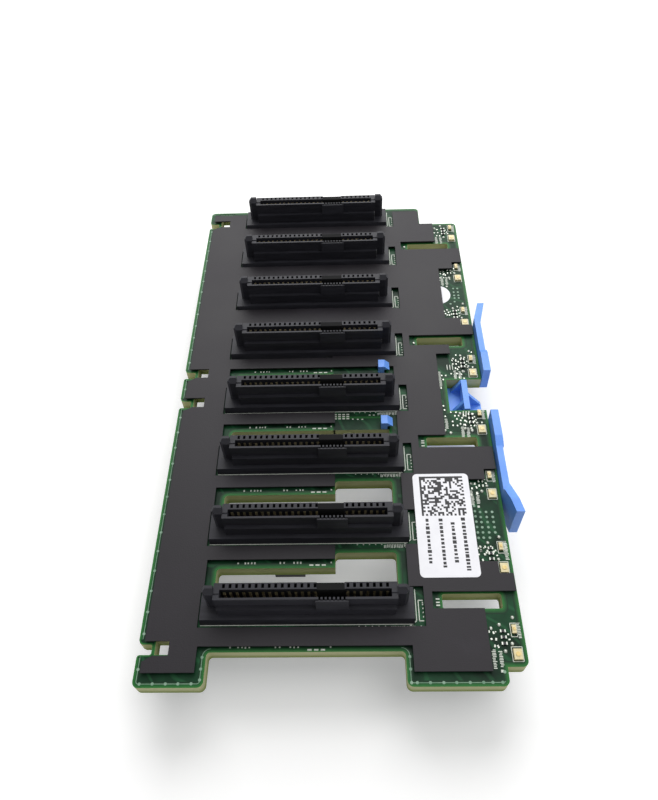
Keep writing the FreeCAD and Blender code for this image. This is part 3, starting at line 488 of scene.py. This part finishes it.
def makeRim(name, upward):
    # Two strips, bright and then fading, and only the outer one round the hooks' notches
    piece = copyFace(name, upward)
    bpy.ops.object.mode_set(mode="OBJECT")
    outline = {rounded(vertex) for vertex in piece.data.vertices}
    bpy.ops.object.mode_set(mode="EDIT")
    bpy.ops.mesh.inset(thickness=rim["outer"] * mm, use_boundary=True)
    bpy.ops.object.mode_set(mode="OBJECT")
    middle = {rounded(vertex) for vertex in piece.data.vertices} - outline
    bpy.ops.object.mode_set(mode="EDIT")
    bpy.ops.mesh.inset(thickness=rim["inner"] * mm, use_boundary=True)
    bpy.ops.mesh.delete(type="FACE")
    bpy.ops.object.mode_set(mode="OBJECT")
    edge = piece.data.attributes.new("edge", "FLOAT", "POINT")
    fade = rim["inner"] / (rim["inner"] + rim["outer"])
    for vertex in piece.data.vertices:
        place = rounded(vertex)
        share = 1.0 if place in outline else fade if place in middle else 0.0
        edge.data[vertex.index].value = share
    for face in piece.data.polygons:
        corners = [piece.data.vertices[at] for at in face.vertices]
        isInner = not any(rounded(corner) in outline for corner in corners)
        isOff = any(corner.co.x < boardLow.x - closeBy for corner in corners)
        face.select = isOff or (isInner and isByHook(face))
    bpy.ops.object.mode_set(mode="EDIT")
    bpy.ops.mesh.delete(type="FACE")
    bpy.ops.object.mode_set(mode="OBJECT")
    piece.location.z = upward * rim["lift"] * mm
    finishPiece(piece, name, rimMask)


def makeGuardLine():
    # Only round the two tabs and up the left edge
    piece = copyFace("guard_line", 1)
    bpy.ops.mesh.inset(thickness=rim["guardIn"] * mm, use_boundary=True)
    bpy.ops.mesh.select_all(action="INVERT")
    bpy.ops.mesh.delete(type="FACE")
    bpy.ops.mesh.select_all(action="SELECT")
    bpy.ops.mesh.inset(thickness=rim["guardWide"] * mm, use_boundary=True)
    bpy.ops.mesh.delete(type="FACE")
    bpy.ops.object.mode_set(mode="OBJECT")
    tabsEnd = spot(0, rim["tabsEnd"])[1]
    leftEnd, rightStart = spot(rim["leftEnd"], 0)[0], spot(rim["rightStart"], 0)[0]
    for face in piece.data.polygons:
        x, y, z = face.center
        isOff = any(piece.data.vertices[at].co.x < boardLow.x + rim["guardOff"] * mm
                    for at in face.vertices)
        face.select = (x > rightStart or (y > tabsEnd and x > leftEnd) or isByHook(face)
                       or isOff)
    bpy.ops.object.mode_set(mode="EDIT")
    bpy.ops.mesh.delete(type="FACE")
    bpy.ops.object.mode_set(mode="OBJECT")
    piece.location.z = 2 * rim["lift"] * mm
    finishPiece(piece, "guard_line", tentedCopper)


nearLine, leftLine, leftTabEnd, rightTabStart = -16.08, -32.28, -20.17, 19.87
viaPlaces = [(x, nearLine) for x in (rightTabStart, 20.96, 23.4, 25.9, 28.3, 30.8, 33.3, 35.0,
                                     36.85, -31.6, -29.1, -26.6, -24.2, -21.7)]
viaPlaces += [(rightTabStart, y) for y in (-13.6, -11.3)]
viaPlaces += [(leftTabEnd, y) for y in (-15.4, -13.4, -11.2)]
viaPlaces += [(37.48, -14.2), (leftLine, -13.4)]
viaPlaces += [(leftLine, -6.6 + 4.4 * step) for step in range(29)]
groundVias = [(x, 19.4 - 1.22 * step) for x in (37.2, 38.5, 39.8) for step in range(6)
              if step < 5 or x < 39]
groundVias += [(36.1, 20.9 - 1.27 * step) for step in range(7)]
groundVias += [(x, y) for x in (38.75, 39.9) for y in (89.4, 87.95, 86.64, 85.6)]
groundVias += [(37.44, 83.39), (38.63, 84.2)]


def makeVias():
    marks = [(x, y, rim["via"], rim["via"], 0, 0) for x, y in viaPlaces]
    marks += [(x, y, rim["groundVia"], rim["groundVia"], 0, 0) for x, y in groundVias]
    scatter(makeDisc(), "tented_vias", onDeck(marks, 2 * rim["lift"], rim["viaHigh"]),
            tentedCopper)


makeRim("board_rim_top", 1)
makeRim("board_rim_bottom", -1)
makeGuardLine()
makeVias()
print("board edges made")


# Silkscreen: an outline beside each receptacle, ticks, and strokes that spell nothing

silk = {"line": 0.18, "thin": 0.17, "lift": 0.014, "high": 0.02, "letterWide": 0.5,
        "letterLong": 0.8, "strokeSides": (-0.3, 0.3), "shortest": 0.6}


def printWord(x, y, stepX, stepY, count, row=0):
    # Two strokes of uneven length stand for each letter
    marks = []
    for letter in range(count):
        for side in silk["strokeSides"]:
            share = dice.uniform(silk["shortest"], 1.0)
            slip = (1 - share) * dice.uniform(-0.5, 0.5)
            if stepX:
                marks.append((x + letter * stepX + side * silk["letterWide"],
                              y + slip * silk["letterLong"], silk["thin"],
                              share * silk["letterLong"], 0, row))
            else:
                marks.append((x + slip * silk["letterLong"],
                              y + letter * stepY + side * silk["letterWide"],
                              share * silk["letterLong"], silk["thin"], 0, row))
    return marks


def rowPrint(row):
    line = silk["line"]
    marks = [(-0.25, -5.05, 42.1, line, 0, row), (21.25, -4.72, 1.15, line, 38, row),
             (21.7, -1.12, line, 6.45, 0, row), (20.5, -5.32, 0.35, 0.35, 45, row),
             (22.25, -2.3, line, 4.2, 0, row), (22.7, -0.25, 0.95, line, 0, row),
             (22.7, -4.4, 0.95, line, 0, row), (22.5, -5.5, 0.22, 0.25, 0, row)]
    marks += [(23.1, y, 0.22, 0.3, 0, row) for y in (-0.7, -1.1, -1.9, -2.7, -3.6)]
    marks += [(10.3 + 1.3 * step, -5.4, 0.22, 0.16, 0, row) for step in range(5)]
    marks += [(16.7 + 0.35 * step, -5.5, 0.2, dice.uniform(0.15, 0.3), 0, row)
              for step in range(14)]
    marks += printWord(16.2, 11.55, 0.7, 0, 7, row)
    return marks


def stripPrint(row):
    # The narrow strip between one row's cut-outs and the next
    ticks = [-14.9, -13.3, -12.6, -11.9, -11.2, -6.0, -5.2, -3.1, -2.35, -1.6, 4.7]
    marks = [(x + dice.uniform(-0.1, 0.1), 8.05, 0.3, dice.uniform(0.3, 0.5), 0, row)
             for x in ticks]
    marks += [(x, 7.5, 0.85, 0.32, 0, row) for x in (0.6, 1.9, 3.2)]
    return marks


slotMarks = [(26.2, y, 0.75, 0.26, 0, 0) for y in (38.28, 37.69, 36.87, 0.0, -0.7, -1.3)]
lightPrint = [(39.8, -6.32, 0.14, 2.65, 0), (41.0, -6.32, 0.14, 2.65, 0),
              (40.77, -5.0, 1.94, 0.14, 0), (40.4, -7.65, 1.34, 0.14, 0),
              (39.4, -10.95, 0.14, 2.75, 0), (41.45, -10.95, 0.14, 2.75, 0),
              (40.42, -9.58, 2.05, 0.14, 0), (40.42, -12.33, 2.05, 0.14, 0)]
slantedLines = [(x, 45.9, 0.24, 1.7, -8, 0) for x in (36.6, 37.25, 37.95)]
slantedLines += [(x, 60.7, 0.2, 1.6, 0, 0) for x in (34.2, 34.9, 35.55)]


def makeSilkscreen():
    marks = slotMarks + slantedLines
    for row in range(rowCount):
        marks += rowPrint(row)
        marks += [(*mark, row) for mark in lightPrint]
        marks += printWord(41.35, -5.2, 0, -0.62, 5, row)
        marks += printWord(35.95, -10.3, 0, -0.62, 6, row)
        marks += printWord(37.2, -10.6, 0, -0.62, 5, row)
        marks.append((37.07, -14.06, 0.5, 0.5, 0, row))
    for row in range(-1, rowCount - 1):
        marks += stripPrint(row)
    marks += printWord(32.3, 41.9, 0, 0.6, 5) + printWord(32.0, 54.7, 0, 0.62, 8)
    marks += printWord(41.5, 11.75, 0, -0.65, 6)
    scatter(makePlate(), "silkscreen", onDeck(marks, silk["lift"], silk["high"]), silkInk)


makeSilkscreen()
print("silkscreen made")


# Solder: pads and small drops of it in the lights' part of the board

solder = {"padHigh": 0.1, "padShare": 0.8, "padTurn": 20, "dropHigh": 0.34, "dropWide": 0.8,
          "endHigh": 0.41, "endWide": 0.26, "endLong": 0.54, "slip": 0.25, "otherWide": 0.32,
          "otherLong": 0.42, "otherTurn": 15, "otherDropWide": 0.85}
rowPads = [(35.6, -6.62, 0.3, 0.55), (36.41, -6.85, 0.4, 0.6), (36.73, -8.13, 0.45, 0.6),
           (36.33, -9.4, 0.4, 0.6), (36.97, -9.51, 0.4, 0.7), (36.83, -6.68, 0.3, 0.3),
           (39.27, -8.2, 0.5, 0.35), (35.85, -8.07, 0.45, 0.45), (39.2, -7.2, 0.4, 0.4)]
chipEnds = [(x, y) for x in (37.77, 38.63) for y in (-6.6, -7.8, -9.0)]
rowDrops = [(40.5, -3.9), (37.7, -5.3), (36.0, -6.0), (39.7, -9.0), (38.2, -10.4)]
otherPads = [
    (37.33, 9.89), (37.95, 9.89), (38.6, 9.89), (36.23, 10.28), (37.2, 11.19), (37.58, 10.27),
    (38.39, 11.18), (38.91, 10.07), (36.18, 26.53), (38.1, 24.63), (36.93, 28.2),
    (38.02, 28.18), (37.13, 24.03), (35.83, 23.64), (32.07, 48.4), (32.2, 47.16),
    (32.19, 45.25), (33.74, 47.21), (34.89, 46.41), (33.66, 46.44), (34.53, 45.35),
    (36.17, 44.71), (34.92, 44.43), (33.81, 43.7), (38.88, 45.87), (40.74, 43.27),
    (38.03, 42.42), (38.88, 42.41), (38.06, 43.62), (39.03, 43.67), (37.08, 43.64),
    (35.61, 42.99), (34.83, 42.49), (33.81, 42.58), (32.81, 56.64), (33.57, 57.95),
    (32.55, 57.98), (34.98, 58.5), (36.46, 58.55), (35.82, 57.4), (37.14, 60.64),
    (38.3, 60.61), (39.33, 60.59), (40.62, 60.56), (38.27, 59.18), (37.52, 58.28),
    (32.04, 53.96), (40.92, 65.59), (40.12, 62.77), (36.82, 64.68), (38.08, 63.63),
    (38.87, 63.81), (35.76, 63.28), (37.19, 62.44), (37.81, 61.23), (35.75, 57.54),
    (36.93, 57.32), (38.07, 56.91), (36.34, 97.04), (35.78, 95.52), (36.82, 95.48),
    (36.55, 93.82), (35.42, 93.85), (35.32, 92.8), (38.15, 93.31), (38.43, 96.97),
    (39.74, 97.54), (39.24, 98.8), (39.54, 95.7), (37.86, 97.61), (35.67, 79.66),
    (37.32, 79.42), (39.27, 80.94), (39.11, 82.21)]
otherDrops = [(31.74, 41.15), (33.04, 40.41), (36.52, 41.6), (38.18, 40.98), (26.19, 107.39),
              (26.31, 69.07)]


def makeSolder():
    pads, drops, ends = [], [], []
    share, turn, other = solder["padShare"], solder["padTurn"], solder["otherTurn"]
    dropWide, otherDropWide = solder["dropWide"], solder["otherDropWide"]
    for row in range(rowCount):
        slip = 0.0 if row == 0 else solder["slip"]  # the rows are alike but not the same
        for x, y, wide, long in rowPads:
            pads.append((x + dice.uniform(-slip, slip), y + dice.uniform(-slip, slip),
                         share * wide, share * long, dice.uniform(-turn, turn), row))
        for x, y in rowDrops:
            drops.append((x + dice.uniform(-slip, slip), y + dice.uniform(-slip, slip),
                          dropWide, dropWide, 0, row))
        ends += [(x, y, solder["endWide"], solder["endLong"], 0, row) for x, y in chipEnds]
    pads += [(x, y, solder["otherWide"], solder["otherLong"], dice.uniform(-other, other), 0)
             for x, y in otherPads]
    drops += [(x, y, otherDropWide, otherDropWide, 0, 0) for x, y in otherDrops]
    scatter(makePlate(), "solder_pads", onDeck(pads, 0, solder["padHigh"]), solderMetal)
    scatter(makeDome(), "solder_drops", onDeck(drops, 0, solder["dropHigh"] * 2), solderMetal)
    scatter(makePlate(), "chip_ends", onDeck(ends, 0, solder["endHigh"]), solderMetal)


makeSolder()
print("solder made")


# Strips that close cut-outs which the solids leave open: board in two rows, and film over
# the second of them and over the far rows

strips = {"boardRows": (2, 3), "boardLeft": 5.2, "boardRight": 18.7, "boardNear": 6.9,
          "boardFar": 10.3, "boardLift": 0.016, "boardFoot": 0.02, "filmLift": 0.6,
          "filmHigh": 0.37, "filmLeft": 5.0, "filmFarLeft": -21.8, "filmRight": 21.4,
          "filmNear": 8.5, "filmFarNear": 1.6, "filmFar": 12.2, "filmRow": 3,
          "filmFarRows": (4, 5, 6)}
stripInk = {"row": 2, "lift": 0.03, "high": 0.02, "left": 5.7, "far": 11.5, "stepX": 1.0,
            "stepY": 0.62, "columns": 4, "lines": 3, "block": (0.66, 0.34), "tick": (0.4, 0.25),
            "ticks": ((9.9, 10.1), (11.1, 10.0), (12.2, 10.0), (14.0, 11.2), (15.0, 11.2))}


def stripPlace(left, right, near, far, row, foot, high):
    x, y = spot((left + right) / 2, (near + far) / 2, row)
    return (x, y, foot, (right - left) * mm, (far - near) * mm, high, 0)


def makeStrips():
    foot = boardLow.z + strips["boardFoot"] * mm
    boards = [stripPlace(strips["boardLeft"], strips["boardRight"], strips["boardNear"],
                         strips["boardFar"], row, foot, deck + strips["boardLift"] * mm - foot)
              for row in strips["boardRows"]]
    films = []
    for row in (strips["filmRow"], *strips["filmFarRows"]):
        isFar = row != strips["filmRow"]
        left = strips["filmFarLeft"] if isFar else strips["filmLeft"]
        near = strips["filmFarNear"] if isFar else strips["filmNear"]
        films.append(stripPlace(left, strips["filmRight"], near, strips["filmFar"], row,
                                deck + strips["filmLift"] * mm, strips["filmHigh"] * mm))
    marks = [(stripInk["left"] + stripInk["stepX"] * column,
              stripInk["far"] - stripInk["stepY"] * line, *stripInk["block"])
             for column in range(stripInk["columns"]) for line in range(stripInk["lines"])]
    marks += [(x, y, *stripInk["tick"]) for x, y in stripInk["ticks"]]
    inked = [(*spot(x, y, stripInk["row"]), deck + stripInk["lift"] * mm, wide * mm, long * mm,
              stripInk["high"] * mm, 0) for x, y, wide, long in marks]
    scatter(makePlate(), "board_strips", boards, solderMask)
    scatter(makePlate(), "film_strips", films, filmPlastic)
    scatter(makePlate(), "strip_marks", inked, silkInk)


makeStrips()
print("strips made")


# Receptacles: the wall of the key between each one's two contact chambers, which the solids
# end lower. Thin black skins without sheen over its front and top are painted shade.

key = {"left": 2.2, "right": 7.62, "near": -0.91, "far": 0.5, "foot": 2.4, "top": 7.68,
       "skin": 0.02}


def makeKeyWalls():
    walls, shades = [], []
    wide, long = (key["right"] - key["left"]) * mm, (key["far"] - key["near"]) * mm
    foot, high, skin = deck + key["foot"] * mm, (key["top"] - key["foot"]) * mm, key["skin"] * mm
    for row in range(rowCount):
        x, y = spot((key["left"] + key["right"]) / 2, (key["near"] + key["far"]) / 2, row)
        walls.append((x, y, foot, wide, long, high, 0))
        # Thin black skins over the key wall's front and top: painted shade, not a second plastic
        shades.append((x, y - long / 2 - skin / 2, foot, wide, skin, high + skin, 0))
        shades.append((x, y - skin, foot + high, wide, long - 4 * skin, skin, 0))
    scatter(makePlate(), "key_walls", walls, receptaclePlastic)
    scatter(makePlate(), "key_painted_shades", shades, keyPaintedShade)


makeKeyWalls()
print("receptacle keys made")


# Lights: gold ends and a lens on one of each pair, gold corners and a round window on the other

lights = {"x": 40.4, "activityY": -6.3, "statusY": -11.1, "endLong": 0.34, "endHigh": 0.55,
          "lensWide": 0.5, "lensLong": 0.66, "windowWide": 0.9, "cornerWide": 0.36,
          "cornerHigh": 0.3, "cornerIn": 0.15, "halfWide": 0.8, "activityHalf": 0.8,
          "endWide": 0.8, "statusHalf": 1.0, "high": 0.7, "lensHigh": 0.12, "skin": 0.03,
          "slope": 0.7}


def makeLens():
    # A low block with sloping sides, one unit across
    lens = makePlate()
    bpy.ops.object.mode_set(mode="EDIT")
    bpy.ops.mesh.select_mode(type="FACE")
    bpy.ops.mesh.select_all(action="DESELECT")
    bpy.ops.object.mode_set(mode="OBJECT")
    for face in lens.data.polygons:
        face.select = face.center.z > 0.9
    bpy.ops.object.mode_set(mode="EDIT")
    bpy.ops.transform.resize(value=(lights["slope"], lights["slope"], 1))
    bpy.ops.object.mode_set(mode="OBJECT")
    return lens


def makeLights():
    ends, lenses, windows, corners = [], [], [], []
    skin, top = lights["skin"], deck + lights["high"] * mm
    lensHigh = lights["lensHigh"] * mm
    cornerX = (lights["halfWide"] - lights["cornerIn"]) * mm
    cornerY = (lights["statusHalf"] - lights["cornerIn"]) * mm
    endY = (lights["activityHalf"] - lights["endLong"] / 2 + skin) * mm
    for row in range(rowCount):
        x, y = spot(lights["x"], lights["activityY"], row)
        lenses.append((x, y, top, lights["lensWide"] * mm, lights["lensLong"] * mm, lensHigh, 0))
        for side in (-1, 1):
            ends.append((x, y + side * endY, deck, (lights["endWide"] + 2 * skin) * mm,
                         lights["endLong"] * mm, lights["endHigh"] * mm, 0))
        x, y = spot(lights["x"], lights["statusY"], row)
        windows.append((x, y, top, lights["windowWide"] * mm, lights["windowWide"] * mm,
                        lensHigh, 0))
        for across in (-1, 1):
            for along in (-1, 1):
                corners.append((x + across * cornerX, y + along * cornerY, deck,
                                lights["cornerWide"] * mm, lights["cornerWide"] * mm,
                                lights["cornerHigh"] * mm, 0))
    scatter(makePlate(), "light_ends", ends, goldPlate)
    scatter(makePlate(), "light_corners", corners, goldPlate)
    scatter(makeLens(), "light_lenses", lenses, lensResin)
    scatter(makeDisc(16), "light_windows", windows, lensResin)


makeLights()
print("lights made")


# Printed label: blocks and bars that say nothing

labelPrint = {"cells": 22, "left": 24.43, "right": 34.09, "near": 18.1, "far": 27.9,
              "filled": 0.5, "overlap": 1.02, "lift": 0.004, "high": 0.012, "bar": 0.82,
              "barShares": (0.7, 1.1), "barLengths": (0.35, 0.8), "barGaps": (0.18, 0.4),
              "bars": ((25.4, 17.4, 6.9), (28.3, 17.4, 6.1), (30.8, 16.5, 7.3),
                       (33.1, 17.6, 5.5))}


def makeLabelPrint():
    cells = labelPrint["cells"]
    wide = (labelPrint["right"] - labelPrint["left"]) / cells
    long = (labelPrint["far"] - labelPrint["near"]) / cells
    marks = []
    for column in range(cells):
        for line in range(cells):
            solid = column == 0 or line == cells - 1
            dashed = (column == cells - 1 and line % 2) or (line == 0 and column % 2 == 0)
            inside = 0 < column < cells - 1 and 0 < line < cells - 1
            if solid or dashed or (inside and dice.random() < labelPrint["filled"]):
                marks.append((labelPrint["left"] + (column + 0.5) * wide,
                              labelPrint["near"] + (line + 0.5) * long,
                              wide * labelPrint["overlap"], long * labelPrint["overlap"]))
    for x, far, near in labelPrint["bars"]:
        while far > near:
            length = min(dice.uniform(*labelPrint["barLengths"]), far - near)
            marks.append((x, far - length / 2,
                          labelPrint["bar"] * dice.uniform(*labelPrint["barShares"]), length))
            far -= length + dice.uniform(*labelPrint["barGaps"])
    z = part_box("code_label")[1].z + labelPrint["lift"] * mm
    places = [(*spot(x, y), z, wide * mm, long * mm, labelPrint["high"] * mm, 0)
              for x, y, wide, long in marks]
    scatter(makePlate(), "label_print", places, printInk)


makeLabelPrint()
print("label print made")


# Studio: a pale floor, one soft lamp from the far side, a weak fill and the camera

studio = {"floor": "#f3f3f3", "floorWide": 4, "floorGap": 0.00005, "glow": 0.25,
          "glowFrom": 0.25, "glowTo": 0.7, "key": (0.0, 0.46, 0.5), "keySize": 0.6,
          "keyPower": 4.0, "fill": (0.25, -0.02, 0.6), "fillSize": 0.5, "fillPower": 1.05,
          "sky": 0.34}
view = {"lens": 30.65, "sensor": 36.0, "clip": 0.01, "place": (0.0027, -0.10582, 0.14795),
        "turn": (37.356, 1.943, 0.251)}


def seenRays(owner):
    # 1 where the camera, metal and clear plastic look, and 0 for light
    rays = addNode(owner, "ShaderNodeLightPath")
    glossy = addNode(owner, "ShaderNodeMath", {"operation": "MAXIMUM"},
                     {0: rays.outputs["Is Camera Ray"], 1: rays.outputs["Is Glossy Ray"]})
    seen = addNode(owner, "ShaderNodeMath", {"operation": "MAXIMUM"},
                   {0: glossy.outputs["Value"], 1: rays.outputs["Is Transmission Ray"]})
    return seen.outputs["Value"]


def makeFloor():
    deselectAll()
    under = cadLow.z - studio["floorGap"]
    bpy.ops.mesh.primitive_plane_add(size=studio["floorWide"], location=(0, 0, under))
    bpy.ops.object.transform_apply(location=True)
    floor = bpy.context.object
    floor.name = "studio_floor"
    material, place = newMaterial("paleStudioPaper")
    paper = addNode(material, "ShaderNodeBsdfDiffuse", {"Color": linearColour(studio["floor"])})
    # The glow grows away from the object, so that the floor ends in the white of the sky
    reach = addNode(material, "ShaderNodeVectorMath", {"operation": "LENGTH"}, {0: place})
    share = addNode(material, "ShaderNodeMapRange",
                    {"From Min": studio["glowFrom"], "From Max": studio["glowTo"],
                     "To Min": studio["glow"], "To Max": 1.0},
                    {"Value": reach.outputs["Value"]})
    glow = addNode(material, "ShaderNodeEmission", {"Color": (1, 1, 1, 1)},
                   {"Strength": share.outputs["Result"]})
    white = addNode(material, "ShaderNodeAddShader", {},
                    {0: paper.outputs["BSDF"], 1: glow.outputs["Emission"]})
    both = addNode(material, "ShaderNodeMixShader", {},
                   {0: seenRays(material), 1: paper.outputs["BSDF"], 2: white.outputs["Shader"]})
    addNode(material, "ShaderNodeOutputMaterial", {}, {"Surface": both.outputs["Shader"]})
    floor.data.materials.append(material)


def makeWorld():
    world = bpy.data.worlds.new("studioSky")
    bpy.context.scene.world = world
    world.use_nodes = True
    world.node_tree.nodes.clear()
    dim = addNode(world, "ShaderNodeBackground",
                  {"Color": (1, 1, 1, 1), "Strength": studio["sky"]})
    white = addNode(world, "ShaderNodeBackground", {"Color": (1, 1, 1, 1), "Strength": 1.0})
    both = addNode(world, "ShaderNodeMixShader", {},
                   {0: seenRays(world), 1: dim.outputs[0], 2: white.outputs[0]})
    addNode(world, "ShaderNodeOutputWorld", {}, {"Surface": both.outputs["Shader"]})


def addLamp(name, place, size, power):
    data = bpy.data.lights.new(name, "AREA")
    data.shape = "DISK"
    data.size = size
    data.energy = power
    lamp = bpy.data.objects.new(name, data)
    bpy.context.scene.collection.objects.link(lamp)
    lamp.location = place
    lamp.rotation_euler = (-Vector(place)).to_track_quat("-Z", "Y").to_euler()


def makeCamera():
    # A wide lens, close over the end with the tabs
    data = bpy.data.cameras.new("camera")
    data.lens = view["lens"]
    data.sensor_width = view["sensor"]
    data.clip_start = view["clip"]
    camera = bpy.data.objects.new("camera", data)
    bpy.context.scene.collection.objects.link(camera)
    camera.location = view["place"]
    camera.rotation_euler = [radians(angle) for angle in view["turn"]]
    bpy.context.scene.camera = camera


makeFloor()
makeWorld()
addLamp("keyLamp", studio["key"], studio["keySize"], studio["keyPower"])
addLamp("fillLamp", studio["fill"], studio["fillSize"], studio["fillPower"])
makeCamera()
bpy.context.scene.view_settings.view_transform = "Standard"
print("studio made")
